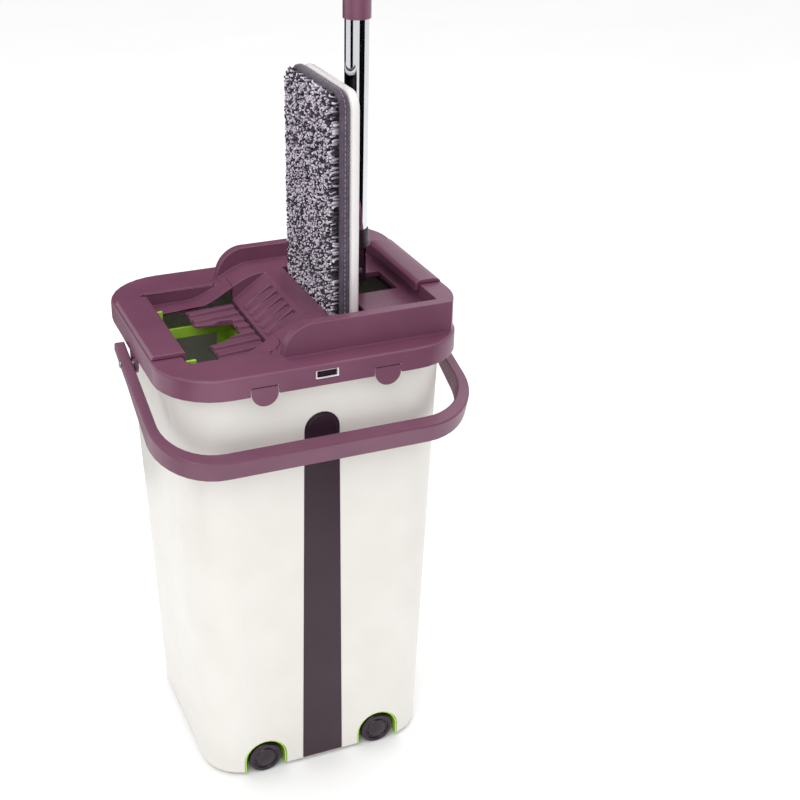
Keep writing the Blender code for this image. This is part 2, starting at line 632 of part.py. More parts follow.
def build_head(white, grey, pile, dark, steel):
    edge = 0.0015
    plate = finish("mop_plate", add_loft(bmesh.new(), [
        (PLATE_X[0], head_outline(edge)), (PLATE_X[0] + edge, head_outline(0)),
        (PLATE_X[1] - edge, head_outline(0)), (PLATE_X[1], head_outline(edge))], "X"), white, False)
    trays = bmesh.new()
    rib = 0.0025
    half_y = HEAD_HALF[0] - 0.0035
    middle = 0.036
    add_prism(trays, box_outline(-half_y, half_y, HEAD_Z - middle, HEAD_Z + middle), "X", TRAY_X, 0.060)
    cells = 3
    cell = (HEAD_HALF[1] - 0.0035 - middle - cells * rib) / cells
    for sz in (-1, 1):
        for i in range(cells):
            near = middle + rib + i * (cell + rib)
            low, high = sorted((HEAD_Z + sz * near, HEAD_Z + sz * (near + cell)))
            for sy in (-1, 1):
                a, b = sorted((sy * rib / 2, sy * (half_y - (0.009 if i == cells - 1 else 0))))
                add_prism(trays, box_outline(a, b, low, high), "X", TRAY_X, 0.060)
    boolean(plate, finish("cut_plate_trays", trays, None))
    for name, sz in (("hook_strip_upper", 1), ("hook_strip_lower", -1)):
        low, high = sorted((HEAD_Z + sz * 0.075, HEAD_Z + sz * 0.145))
        prism(name, box_outline(-0.045, 0.045, low, high), "X", *STRIP_X, grey)
    soft = 0.002
    pad = [(PILE_X[0], head_outline(0.0065)), (PILE_X[0] + soft, head_outline(0.0030)),
           (PILE_X[1], head_outline(0.0015)), (PAD_X[0] + 0.0002, head_outline(-0.0005)),
           (PAD_X[1] - soft / 2, head_outline(-0.0005)), (PAD_X[1], head_outline(soft / 2))]
    finish("mop_pad", add_loft(bmesh.new(), pad, "X"), pile, False)
    build_yoke(dark, steel)


def build_yoke(dark, steel):
    """The bracket on the head's back: a foot and two ears, with a pin through each ear."""
    yoke = prism("head_yoke", rounded(0.020, 0.028, 0.005, (0, HEAD_Z), 4), "X", *YOKE_X, dark)
    ears = bmesh.new()
    for sz in (-1, 1):
        low, high = sorted((HEAD_Z + sz * EAR[0], HEAD_Z + sz * EAR[1]))
        foot, neck = YOKE_X[1] - 0.0012, YOKE_X[1] + 0.0033
        outline = [(foot, -0.0100), (neck, -EAR_HALF)]
        outline += arc((POLE_X, 0), EAR_HALF, -90, 90, 8) + [(neck, EAR_HALF), (foot, 0.0100)]
        add_prism(ears, outline, "Z", low, high)
    boolean(yoke, finish("add_ears", ears, None), "UNION")
    holes = bmesh.new()
    for sz in (-1, 1):
        low, high = sorted((sz * 0.010, sz * 0.018))
        radius = 0.0020 + RUN / 4
        add_turned(holes, [(0, low), (radius, low), (radius, high), (0, high)],
                   (POLE_X, 0, HEAD_Z), "Z", 16)
        boolean(yoke, finish("cut_ear_holes_" + ("upper" if sz > 0 else "lower"), holes, None))
        holes = bmesh.new()
    holes.free()
    for name, sz in (("yoke_pin_upper", 1), ("yoke_pin_lower", -1)):
        low, high = sorted((sz * 0.0052, sz * (EAR[1] + 0.0004)))
        pin(name, 0.0020, (POLE_X, 0, HEAD_Z), "Z", low, high, steel, 16)


def build_joint(dark, steel):
    """The swivel block between the ears: it turns on the yoke's pins and carries the cross pin."""
    centre = (POLE_X, 0, HEAD_Z)
    half = EAR[0] - GAP
    outline = rounded(0.0070, FORK[0] - GAP, 0.003, (POLE_X, 0), 4)
    block = prism("swivel_block", outline, "Z", HEAD_Z - half, HEAD_Z + half, dark, True, centre)
    bores = bmesh.new()
    radius = 0.0020 + RUN
    for sz in (-1, 1):
        low, high = sorted((sz * 0.0048, sz * 0.0140))
        add_turned(bores, [(0, low), (radius, low), (radius, high), (0, high)], centre, "Z", 16)
    boolean(block, finish("cut_block_bores", bores, None))
    cross = bmesh.new()
    add_turned(cross, [(0, -0.015), (0.0022 + RUN, -0.015), (0.0022 + RUN, 0.015), (0, 0.015)],
               centre, "Y", 16)
    boolean(block, finish("cut_block_cross", cross, None))
    pin("tilt_pin", 0.0022, centre, "Y", -FORK[1], FORK[1], steel, 16)


def build_pole(dark, mauve, chrome):
    """The pole: fork and socket, two chrome tubes joined inside a sleeve, and the end grip."""
    centre = (POLE_X, 0, HEAD_Z)
    axis = (POLE_X, 0, 0)
    crown = HEAD_Z + FORK_CROWN
    collar = crown + 0.0045
    fork = turned("pole_fork", [(0, crown), (COLLAR_R - 0.0008, crown), (COLLAR_R, crown + 0.0008),
                                (COLLAR_R, collar), (SOCKET_R, collar + 0.0025),
                                (SOCKET_R, SOCKET_TOP - 0.002), (SOCKET_R - 0.0006, SOCKET_TOP),
                                (TUBE_R + RUN, SOCKET_TOP), (TUBE_R + RUN, crown + 0.0030),
                                (0, crown + 0.0030)], axis, dark, "Z", 28, centre)
    arms = bmesh.new()
    for sy in (-1, 1):
        low, high = sorted((sy * FORK[0], sy * FORK[1]))
        outline = arc((POLE_X, HEAD_Z), FORK_HALF, 180, 360, 10)
        outline += [(POLE_X + FORK_HALF, crown + 0.0022), (POLE_X - FORK_HALF, crown + 0.0022)]
        add_prism(arms, outline, "Y", low, high)
    arms = finish("add_fork_arms", arms, None)
    boolean(fork, arms, "UNION")
    bore = bmesh.new()
    add_turned(bore, [(0, -0.02), (0.0022 + RUN / 4, -0.02), (0.0022 + RUN / 4, 0.02), (0, 0.02)],
               centre, "Y", 16)
    boolean(fork, finish("cut_fork_bore", bore, None))
    low = crown + 0.0030 + GAP
    tube("lower_tube", TUBE_R, TUBE_R - 0.0010, axis, low, TUBE_JOINT, chrome)
    tube("tube_coupler", TUBE_R - 0.0010 - RUN, TUBE_R - 0.0028, axis, TUBE_JOINT - 0.030,
         TUBE_JOINT + 0.030, dark)
    tube("upper_tube", TUBE_R, TUBE_R - 0.0010, axis, TUBE_JOINT + GAP, GRIP_Z[1] - 0.045, chrome)
    bore = TUBE_R + RUN
    sleeve = [(bore, SLEEVE_Z[0]), (SLEEVE_R - 0.0005, SLEEVE_Z[0]), (SLEEVE_R, SLEEVE_Z[0] + 0.001),
              (SLEEVE_R, SLEEVE_Z[1] - 0.006), (SLEEVE_R - 0.0010, SLEEVE_Z[1]), (bore, SLEEVE_Z[1])]
    turned("pole_sleeve", sleeve, axis, mauve, "Z", 28)
    build_grip(axis, mauve)


def build_grip(axis, look):
    """The end grip: a tapered sleeve closed at the top, with an eye to hang it by."""
    low, high = GRIP_Z
    bore = TUBE_R + RUN
    profile = [(bore, low), (0.0118, low), (0.0128, low + 0.004), (0.0122, low + 0.045),
               (0.0130, high - 0.040), (0.0128, high - 0.010), (0.0105, high - 0.002),
               (0.0070, high), (0, high), (0, high - 0.040), (bore, high - 0.040)]
    grip = turned("end_grip", profile, axis, look, "Z", 28)
    eye = rounded(0.0040, 0.0085, 0.0039, (axis[0], high - 0.0180), 5)
    return boolean(grip, prism("cut_grip_eye", eye, "Y", -0.03, 0.03))


def main():
    clear_scene()
    mauve = material("mauve_polypropylene", "8a5f7d", 0.42)
    plum = material("plum_polypropylene", "4a2d40", 0.40)
    cream = material("cream_polypropylene", "ebe8e3", 0.38)
    lime = material("lime_polypropylene", "b0dc48", 0.42)
    dark = material("dark_plum_nylon", "33232f", 0.45)
    white = material("white_abs", "f4eeee", 0.35)
    grey = material("grey_hook_tape", "8c8890", 0.85)
    pile = material("chenille_pile", "8a8294", 0.95)
    rubber = material("black_rubber", "2a262c", 0.60)
    pale = material("catch_white_abs", "e4e1dd", 0.40)
    steel = material("steel_pin", "b9bcc0", 0.25, 1.0)
    chrome = material("chrome_tube", "d9dadd", 0.08, 1.0)
    build_tub(cream)
    build_stripes(plum)
    build_running_gear(lime, steel, dark)
    build_lid(mauve)
    build_latches(mauve, pale)
    build_covers(mauve)
    build_wash_frame(lime)
    build_scrub_plate(mauve)
    build_wringer(lime, rubber)
    build_handle(mauve, steel)
    build_head(white, grey, pile, plum, steel)
    build_joint(dark, steel)
    build_pole(plum, mauve, chrome)


main()
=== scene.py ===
"""A flat squeeze mop parked in its two-slot bucket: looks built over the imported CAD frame.

Metres, +Z up. The tub stands round the Z axis, the wash opening is on the left (-X) and the mop
slot on the right (+X); the front with the long inlay faces -Y.
"""

import json
import math

import bmesh
import bpy
import numpy as np
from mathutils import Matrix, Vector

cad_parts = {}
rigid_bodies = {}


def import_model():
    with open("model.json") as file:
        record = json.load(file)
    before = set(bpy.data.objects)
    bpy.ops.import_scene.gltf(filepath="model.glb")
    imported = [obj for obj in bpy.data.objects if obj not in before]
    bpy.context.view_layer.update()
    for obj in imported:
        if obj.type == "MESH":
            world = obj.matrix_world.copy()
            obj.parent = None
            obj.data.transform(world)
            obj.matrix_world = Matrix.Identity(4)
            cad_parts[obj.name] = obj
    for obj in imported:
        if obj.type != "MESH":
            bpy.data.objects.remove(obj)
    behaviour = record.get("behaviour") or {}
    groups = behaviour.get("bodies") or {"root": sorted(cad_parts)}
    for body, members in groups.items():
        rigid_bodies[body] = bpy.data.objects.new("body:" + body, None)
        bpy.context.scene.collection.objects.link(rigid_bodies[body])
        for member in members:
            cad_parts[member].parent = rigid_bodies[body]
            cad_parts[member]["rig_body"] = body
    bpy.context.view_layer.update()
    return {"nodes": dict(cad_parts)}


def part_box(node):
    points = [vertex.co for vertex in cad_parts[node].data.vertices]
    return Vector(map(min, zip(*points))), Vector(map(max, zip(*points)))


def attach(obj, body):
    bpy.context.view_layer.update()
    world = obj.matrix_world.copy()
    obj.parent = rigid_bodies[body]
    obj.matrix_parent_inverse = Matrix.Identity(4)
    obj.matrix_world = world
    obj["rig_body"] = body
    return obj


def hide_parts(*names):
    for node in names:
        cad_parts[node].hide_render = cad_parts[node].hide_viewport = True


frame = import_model()
SLOTS = {node: thing.data.materials[0].name.split(".")[0] for node, thing in frame["nodes"].items()}

# ---- sizes, in metres ----
MM = 0.001
FLOOR_Z = -0.0033          # where the wheels touch
POLE_X = 0.0705
TUBE_R = 0.0100
TUBE_WALL = 0.0010
TUBE_EDGE = 0.0004
SLEEVE_R = 0.0115
SLEEVE_EDGE = 0.0005
SLEEVE_ROOM = 0.0002       # between the sleeve's bore and the tube
WHEEL_R = 0.0155
WHEEL_FACE = 0.0985
WHEEL_WIDTH = 0.017
WHEEL_EDGE = 0.0018        # rolled edge of the tread
WHEEL_SEAT = 0.004         # the axle stops this far behind the face
HUB_R = 0.0090
HUB_RISE = (-0.0004, 0.0015)  # the hub's rim against the face, and its dome above that
AXLE_BORE = 0.0026
HEAD_Z = 0.442             # middle of the parked head
HEAD_HALF = (0.057, 0.166)
HEAD_CORNER = 0.014
PILE_X = (0.0258, 0.0342)  # tips and roots of the pile
TAPE_X = (0.0342, 0.0414)  # the pad's bound edge
TUFTS = (162, 52)          # down and across the pad
TUFT_INSET = 0.0042        # from the pad's edge to the outer row of tufts
TUFT_SCATTER = 0.0007
TUFT_ROOM = 0.0022         # a tuft nearer the edge than this is left out
TUFT_LEAN = (0.0008, 0.0020)
TUFT_RISE = (0.90, 1.03)   # part of the pile's depth
TUFT_CURL = 0.60 * math.pi
TUFT_R = (0.00080, 0.00115)
TUFT_SHAPE = (1.0, 1, 1, 1, 0.5)  # radius from root to tip
DARK_PART = 0.46           # part of the tufts that are dark yarn
EDGE_BAND = 0.0070         # tufts within this lean outward
EDGE_LEAN = 0.42
EDGE_RISE = (0.50, 0.0150) # rise at the very edge, and how far in it comes to full height
OUTLINE_STEPS = 424        # two for each stitch
PUCKER = 0.0008            # part of the pad's size
PUCKER_INSET = 0.004       # only the bound edge is puckered
STITCH = (0.0042, 0.0031)  # pitch and length
STITCH_RISE = (-0.25, 0.25, 0.4, 0.25, -0.25)
STITCH_R = (0.15, 0.30, 0.32, 0.30, 0.15)
FINE_STEPS = 4000          # along the outline that carries the stitches

FLAG_R = 0.52              # the dark flags stand round the pole
FLAG_TOP = 1.6
FLAG_SPANS = ((-180, -118), (-60, -34), (24, 78))  # degrees from the camera's side
FLAG_STEPS = 12
FLOOR_HALF = 60.0
CAMERA_PLACE = (-0.3503, -1.0280, 0.8789)
CAMERA_TURN = (62.24, 0.0, -21.44)
CAMERA_LENS = 61.8
CAMERA_SHIFT = (0.0789, 0.0212)
SKY = 0.95
LAMPS = (("soft_key", (-0.9, -1.1, 2.0), (0.0, 0.0, 0.35), 1.6, 15.0),
         ("soft_top", (0.3, 0.5, 2.3), (0.0, 0.0, 0.40), 1.8, 11.0))
WALL_FOOT = 0.0994         # the tub's front wall at the floor and at the skirt
WALL_TOP = 0.1035
SKIRT_Z = 0.394
INLAY_TOP_Z = 0.348
INLAY_BEAD = 0.0126        # half the width of the bead's arch
BEAD_R = 0.00055
BEAD_LEGS = (0.020, 0.002) # how far the bead runs down from its arch, and its last step
CORNERS = ("front_left", "front_right", "back_left", "back_right")
EDGE_RADII = {"tub": 0.0, "carry_handle": 0.0012, "mop_plate": 0.0016, "lid": 0.0007,
              "end_cover_left": 0.0008, "end_cover_right": 0.0010, "wash_frame": 0.0,
              "scrub_plate": 0.0004, "wiper_holder": 0.0, "head_yoke": 0.0005,
              "pole_fork": 0.0006, "swivel_block": 0.0004, "end_grip": 0.0010,
              "stripe_front": 0.0004, "stripe_back": 0.0004, "catch_front": 0.0003,
              "catch_back": 0.0003, **{"latch_" + corner: 0.0005 for corner in CORNERS}}
LEFT_IN_TRIANGLES = ("lid", "scrub_plate", "tub", "carry_handle")
SHARP = 32                 # degrees: a sharper edge is rounded and not smoothed over
EDGE_STEPS = 3
WELD = 4e-6                # points this close become one
MOULD_GRAIN = 0.45         # mm, of the spark-eroded surface

SEED = np.random.default_rng(7)


# ---- materials ----
def linear(code):
    """An sRGB hex colour as linear RGBA."""
    parts = [int(code[i:i + 2], 16) / 255 for i in (0, 2, 4)]
    return (*[c / 12.92 if c <= 0.04045 else ((c + 0.055) / 1.055) ** 2.4 for c in parts], 1.0)


def add(tree, kind, values=None, feeds=None, **settings):
    """One node of that kind with its settings, its sockets' values and the sockets that feed it."""
    made = tree.nodes.new("ShaderNode" + kind)
    for name, value in settings.items():
        setattr(made, name, value)
    for socket, value in (values or {}).items():
        made.inputs[socket].default_value = value
    for socket, source in (feeds or {}).items():
        tree.links.new(source, made.inputs[socket])
    return made


def start_material(name, **sockets):
    """A Principled material with constants on the shader's own sockets, and Object coordinates."""
    made = bpy.data.materials.new(name)
    made.use_nodes = True
    tree = made.node_tree
    shader = tree.nodes["Principled BSDF"]
    for socket, value in sockets.items():
        shader.inputs[socket.replace("_", " ")].default_value = value
    place = add(tree, "TexCoord").outputs["Object"]
    return made, tree, shader, place


def tone(tree, low, high, factor):
    """A colour between two hex colours."""
    mix = add(tree, "Mix", data_type="RGBA")
    mix.inputs["A"].default_value = linear(low)
    mix.inputs["B"].default_value = linear(high)
    tree.links.new(factor, mix.inputs["Factor"])
    return mix.outputs["Result"]


def moulded_plastic(name, low, high, roughness, relief=0.035, coat=0.0):
    """Injection-moulded plastic: cloudy tone from flow in the mould, a fine spark-eroded grain in
    the surface, and faint hairline scuffs that change the gloss."""
    made, tree, shader, place = start_material(name, IOR=1.49, Coat_Weight=coat, Coat_Roughness=0.18)
    cloud = add(tree, "TexNoise", {"Scale": 1 / (55 * MM), "Detail": 3.0, "Roughness": 0.5},
                {"Vector": place})
    fine = add(tree, "TexNoise", {"Scale": 1 / (MOULD_GRAIN * MM), "Detail": 2.0, "Roughness": 0.6},
               {"Vector": place})
    stretch = add(tree, "Mapping", {"Scale": (1.0, 0.16, 0.16), "Rotation": (0.5, 0.4, 0.7)},
                  {"Vector": place})
    scuff = add(tree, "TexNoise", {"Scale": 1 / (1.4 * MM), "Detail": 4.0, "Roughness": 0.7},
                {"Vector": stretch.outputs["Vector"]})
    blend = add(tree, "Math", {1: 0.8}, {0: cloud.outputs["Fac"]}, operation="MULTIPLY")
    blend = add(tree, "Math", {1: 0.2}, {0: fine.outputs["Fac"], 2: blend.outputs[0]},
                operation="MULTIPLY_ADD")
    spread = add(tree, "MapRange", {"From Min": 0.32, "From Max": 0.68}, {"Value": blend.outputs[0]})
    tree.links.new(tone(tree, low, high, spread.outputs["Result"]), shader.inputs["Base Color"])
    gloss = add(tree, "MapRange", {"From Min": 0.3, "From Max": 0.7, "To Min": roughness - 0.05,
                                   "To Max": roughness + 0.07}, {"Value": scuff.outputs["Fac"]})
    tree.links.new(gloss.outputs["Result"], shader.inputs["Roughness"])
    bump = add(tree, "Bump", {"Strength": relief, "Distance": 0.25 * MM}, {"Height": fine.outputs["Fac"]})
    tree.links.new(bump.outputs["Normal"], shader.inputs["Normal"])
    return made


def drawn_chrome(name):
    """Chrome plate on drawn steel tube: a mirror with faint lengthwise draw lines and soft
    handling marks in its gloss."""
    made, tree, shader, place = start_material(name, Metallic=1.0)
    along = add(tree, "Mapping", {"Scale": (1.0, 1.0, 0.004)}, {"Vector": place})
    lines = add(tree, "TexNoise", {"Scale": 1 / (0.6 * MM), "Detail": 3.0},
                {"Vector": along.outputs["Vector"]})
    marks = add(tree, "TexNoise", {"Scale": 1 / (22 * MM), "Detail": 5.0, "Roughness": 0.62},
                {"Vector": place})
    tree.links.new(tone(tree, "cfd1d5", "e6e7ea", marks.outputs["Fac"]), shader.inputs["Base Color"])
    gloss = add(tree, "MapRange", {"From Min": 0.35, "From Max": 0.7, "To Min": 0.035, "To Max": 0.10},
                {"Value": marks.outputs["Fac"]})
    tree.links.new(gloss.outputs["Result"], shader.inputs["Roughness"])
    bump = add(tree, "Bump", {"Strength": 0.04, "Distance": 0.05 * MM}, {"Height": lines.outputs["Fac"]})
    tree.links.new(bump.outputs["Normal"], shader.inputs["Normal"])
    return made


def turned_steel(name):
    """Bright turned steel pin: tight rings from the lathe across its gloss."""
    made, tree, shader, place = start_material(name, Metallic=1.0)
    rings = add(tree, "TexNoise", {"Scale": 1 / (0.5 * MM), "Detail": 2.0}, {"Vector": place})
    tree.links.new(tone(tree, "a6a9ad", "c8cbcf", rings.outputs["Fac"]), shader.inputs["Base Color"])
    gloss = add(tree, "MapRange", {"To Min": 0.18, "To Max": 0.34}, {"Value": rings.outputs["Fac"]})
    tree.links.new(gloss.outputs["Result"], shader.inputs["Roughness"])
    bump = add(tree, "Bump", {"Strength": 0.08, "Distance": 0.05 * MM}, {"Height": rings.outputs["Fac"]})
    tree.links.new(bump.outputs["Normal"], shader.inputs["Normal"])
    return made


def chenille_yarn(name):
    """Two-tone microfibre pile: each loop holds its own yarn colour, darkened towards its root by
    painted shade, with a thready relief and a soft sheen."""
    made, tree, shader, place = start_material(name, Sheen_Weight=0.35, Sheen_Roughness=0.5,
                                               Roughness=0.9, Specular_IOR_Level=0.25)
    shader.inputs["Sheen Tint"].default_value = linear("e9e2ee")
    yarn = add(tree, "Attribute", attribute_name="yarn")
    root = add(tree, "Attribute", attribute_name="root")
    fibre = add(tree, "TexNoise", {"Scale": 1 / (0.55 * MM), "Detail": 3.0, "Roughness": 0.65},
                {"Vector": place})
    ramp = add(tree, "ValToRGB", feeds={"Fac": yarn.outputs["Fac"]})
    bar = ramp.color_ramp
    bar.elements[0].position = 0.0
    bar.elements[0].color = linear("262029")
    bar.elements[1].position = 1.0
    bar.elements[1].color = linear("f7f2f9")
    for spot, code in ((0.38, "443b4a"), (0.5, "b9b0be"), (0.75, "ddd5e1")):
        bar.elements.new(spot).color = linear(code)
    # painted shade: the yarn colour is multiplied down to 6f6673 at each tuft's root, standing for the
    # shade deep in the pile
    shade = add(tree, "Mix", {"Factor": 1.0}, data_type="RGBA", blend_type="MULTIPLY")
    tree.links.new(ramp.outputs["Color"], shade.inputs["A"])
    tree.links.new(tone(tree, "6f6673", "ffffff", root.outputs["Fac"]), shade.inputs["B"])
    lift = add(tree, "Mix", {"Factor": 1.0}, data_type="RGBA", blend_type="MULTIPLY")
    tree.links.new(shade.outputs["Result"], lift.inputs["A"])
    tree.links.new(tone(tree, "c4bfc8", "ffffff", fibre.outputs["Fac"]), lift.inputs["B"])
    tree.links.new(lift.outputs["Result"], shader.inputs["Base Color"])
    bump = add(tree, "Bump", {"Strength": 0.5, "Distance": 0.3 * MM}, {"Height": fibre.outputs["Fac"]})
    tree.links.new(bump.outputs["Normal"], shader.inputs["Normal"])
    return made


def woven_tape(name, low, high, pitch=0.9):
    """Woven polyester tape: crossing threads about a millimetre apart, drawn a little coarser than
    real so that they show, with a dry sheen."""
    made, tree, shader, place = start_material(name, Roughness=0.85, Sheen_Weight=0.2,
                                               Specular_IOR_Level=0.3)
    warp = add(tree, "TexWave", {"Scale": 0.314 / (pitch * MM), "Distortion": 0.6, "Detail": 1.0},
               {"Vector": place}, bands_direction="Z")
    weft = add(tree, "TexWave", {"Scale": 0.314 / (pitch * MM), "Distortion": 0.6, "Detail": 1.0},
               {"Vector": place}, bands_direction="Y")
    weave = add(tree, "Math", feeds={0: warp.outputs["Fac"], 1: weft.outputs["Fac"]},
                operation="MULTIPLY")
    worn = add(tree, "TexNoise", {"Scale": 1 / (6 * MM), "Detail": 4.0}, {"Vector": place})
    both = add(tree, "Math", {1: 0.45}, {0: weave.outputs[0], 2: worn.outputs["Fac"]},
               operation="MULTIPLY_ADD")
    spread = add(tree, "MapRange", {"From Min": 0.35, "From Max": 0.95}, {"Value": both.outputs[0]})
    tree.links.new(tone(tree, low, high, spread.outputs["Result"]), shader.inputs["Base Color"])
    bump = add(tree, "Bump", {"Strength": 0.6, "Distance": 0.25 * MM}, {"Height": weave.outputs[0]})
    tree.links.new(bump.outputs["Normal"], shader.inputs["Normal"])
    return made


def wiper_rubber(name):
    """Moulded black rubber: matt, slightly bloomed grey, with a fine skin."""
    made, tree, shader, place = start_material(name, IOR=1.52)
    bloom = add(tree, "TexNoise", {"Scale": 1 / (9 * MM), "Detail": 5.0}, {"Vector": place})
    skin = add(tree, "TexNoise", {"Scale": 1 / (0.4 * MM), "Detail": 2.0}, {"Vector": place})
    tree.links.new(tone(tree, "1d1a1e", "38333a", bloom.outputs["Fac"]), shader.inputs["Base Color"])
    gloss = add(tree, "MapRange", {"To Min": 0.5, "To Max": 0.75}, {"Value": bloom.outputs["Fac"]})
    tree.links.new(gloss.outputs["Result"], shader.inputs["Roughness"])
    bump = add(tree, "Bump", {"Strength": 0.15, "Distance": 0.1 * MM}, {"Height": skin.outputs["Fac"]})
    tree.links.new(bump.outputs["Normal"], shader.inputs["Normal"])
    return made


LOOKS = {
    "mauve_polypropylene": moulded_plastic("mauve_moulded_polypropylene", "6a3d54", "76475e", 0.34),
    "plum_polypropylene": moulded_plastic("plum_moulded_polypropylene", "2a1422", "331b2b", 0.36),
    "cream_polypropylene": moulded_plastic("cream_moulded_polypropylene", "dddad4", "e4e1dc", 0.34,
                                           relief=0.02),
    "lime_polypropylene": moulded_plastic("lime_moulded_polypropylene", "a4d23c", "b8e650", 0.38),
    "dark_plum_nylon": moulded_plastic("dark_plum_moulded_nylon", "20131f", "2c1c2a", 0.22),
    "white_abs": moulded_plastic("white_gloss_abs", "e4dfe0", "eae6e6", 0.22, relief=0.015, coat=0.3),
    "catch_white_abs": moulded_plastic("catch_moulded_abs", "dedad6", "e8e5e1", 0.35),
    "chrome_tube": drawn_chrome("drawn_chrome_tube"),
    "steel_pin": turned_steel("turned_steel_pin"),
    "chenille_pile": chenille_yarn("chenille_microfibre_pile"),
    "grey_hook_tape": woven_tape("grey_hook_tape", "77737b", "98949c"),
    "black_rubber": wiper_rubber("moulded_wiper_rubber"),
}
STITCHING = woven_tape("twisted_sewing_thread", "8a7f8d", "a79cab", 0.6)
BINDING = woven_tape("woven_binding_tape", "433945", "5f5462", 0.8)


# ---- surfaces ----
def grid_faces(rows, columns, close_rows=False, close_columns=False):
    """Quads of a grid of points numbered row by row; a closed direction joins its last line to its
    first."""
    r = np.arange(rows if close_rows else rows - 1)
    c = np.arange(columns if close_columns else columns - 1)
    r, c = [a.ravel() for a in np.meshgrid(r, c, indexing="ij")]
    up, over = (r + 1) % rows, (c + 1) % columns
    return np.stack([r * columns + c, r * columns + over, up * columns + over, up * columns + c], 1)


def piece_from(name, points, faces, look, body, smooth=40, stands_for=()):
    """A mesh object at the origin from points and face lists, with outward faces, that rides on a
    body and stands for CAD nodes."""
    mesh = bpy.data.meshes.new(name)
    mesh.from_pydata(np.asarray(points).reshape(-1, 3).tolist(), [], [list(map(int, f)) for f in faces])
    mesh.validate()
    bm = bmesh.new()
    bm.from_mesh(mesh)
    bmesh.ops.remove_doubles(bm, verts=bm.verts, dist=1e-7)
    bmesh.ops.recalc_face_normals(bm, faces=bm.faces)
    bm.to_mesh(mesh)
    bm.free()
    return dress(name, mesh, look, body, smooth, stands_for)


def dress(name, mesh, look, body, smooth, stands_for):
    """Gives a finished mesh its material, shading and body, and hides the CAD nodes that it stands for.
    """
    mesh.materials.clear()
    mesh.materials.append(look)
    mesh.polygons.foreach_set("use_smooth", np.ones(len(mesh.polygons), bool))
    mesh.set_sharp_from_angle(angle=math.radians(smooth))
    piece = bpy.data.objects.new(name, mesh)
    bpy.context.scene.collection.objects.link(piece)
    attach(piece, body)
    if stands_for:
        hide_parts(*stands_for)
    return piece


def rounded_edges(piece, width):
    """A live Bevel that rounds the sharp edges, with the shading of the flats kept flat."""
    bevel = piece.modifiers.new("rounded_edges", "BEVEL")
    bevel.width = width
    bevel.segments = EDGE_STEPS
    bevel.limit_method = "ANGLE"
    bevel.angle_limit = math.radians(SHARP)
    bevel.use_clamp_overlap = False
    bevel.miter_outer = "MITER_ARC"
    bevel.loop_slide = False
    even = piece.modifiers.new("flat_shading", "WEIGHTED_NORMAL")
    even.keep_sharp = True


def moulded(node, width, whole):
    """A merged copy of a CAD node: its loose triangles are welded, flat areas are made whole again
    if asked, and its edges get the small radius that a mould leaves."""
    source = frame["nodes"][node]
    count = len(source.data.vertices)
    points = np.zeros(count * 3)
    source.data.vertices.foreach_get("co", points)
    triangles = np.zeros(len(source.data.loops), np.int64)
    source.data.loops.foreach_get("vertex_index", triangles)
    mesh = bpy.data.meshes.new(node + "_moulded")
    mesh.from_pydata(points.reshape(-1, 3).tolist(), [], triangles.reshape(-1, 3).tolist())
    bm = bmesh.new()
    bm.from_mesh(mesh)
    bmesh.ops.remove_doubles(bm, verts=bm.verts, dist=WELD)
    bmesh.ops.dissolve_degenerate(bm, edges=bm.edges, dist=WELD)
    if whole:
        bmesh.ops.dissolve_limit(bm, angle_limit=math.radians(0.6), verts=bm.verts, edges=bm.edges)
    bm.to_mesh(mesh)
    bm.free()
    slot = SLOTS[node]
    piece = dress(node + "_moulded", mesh, LOOKS[slot], source["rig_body"], SHARP, (node,))
    if width:
        rounded_edges(piece, width)


def turned_piece(node, outline, centre, axis, look, segments=64, smooth=30):
    """Surface of revolution round an axis: point (i, j) stands at the outline's radius r(i) and
    height h(i), turned by 2 pi j / segments. The outline is closed into a loop."""
    outline = np.asarray(outline, float)
    turn = 2 * np.pi * np.arange(segments) / segments
    wide, tall = outline[:, :1] * np.cos(turn), outline[:, :1] * np.sin(turn)
    along = np.repeat(outline[:, 1:], segments, 1)
    order = {"Z": (wide, tall, along), "Y": (wide, along, tall)}[axis]
    points = np.stack(order, 2) + np.array(centre)
    faces = grid_faces(len(outline), segments, close_rows=True, close_columns=True)
    return piece_from(node + "_turned", points, faces, look, frame["nodes"][node]["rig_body"],
                      smooth, (node,))


def pad_outline(inset, count):
    """Evenly spaced points (y, z) round the pad's rounded rectangle, drawn in by the inset."""
    half_y, half_z = HEAD_HALF[0] - inset, HEAD_HALF[1] - inset
    corner = max(min(HEAD_CORNER - inset, half_y), 0.0)
    turn = np.radians(np.linspace(0, 90, 13))
    y = half_y - corner + corner * np.cos(turn)
    z = half_z - corner + corner * np.sin(turn)
    y = np.concatenate([[half_y], y, -y[::-1], -y, y[::-1], [half_y]])
    z = np.concatenate([[0], z, z[::-1], -z, -z[::-1], [0]])
    length = np.concatenate([[0], np.cumsum(np.hypot(np.diff(y), np.diff(z)))])
    spots = length[-1] * np.arange(count) / count
    return np.stack([np.interp(spots, length, y), np.interp(spots, length, z)], 1)


def pad_layer(name, profile, look, pucker=0.0):
    """A closed layer of the pad: row i is the pad's outline drawn in by inset(i) at depth x(i), and
    the first and last rows close to a line down the middle. The pucker is a small ripple of the
    outline at the pitch of the stitches, as a part of the pad's size."""
    count = OUTLINE_STEPS
    rows = []
    for x, inset in profile:
        flat = pad_outline(inset, count)
        ripple = pucker * np.cos(np.pi * np.arange(count)) * (inset < PUCKER_INSET)
        rows.append(np.column_stack([np.full(count, x), flat * (1 + ripple[:, None])]))
    points = np.stack(rows) + np.array([0, 0, HEAD_Z])
    piece = piece_from(name, points, grid_faces(len(rows), count, close_columns=True), look,
                       "mop_head", 50, ("mop_pad",))
    return piece


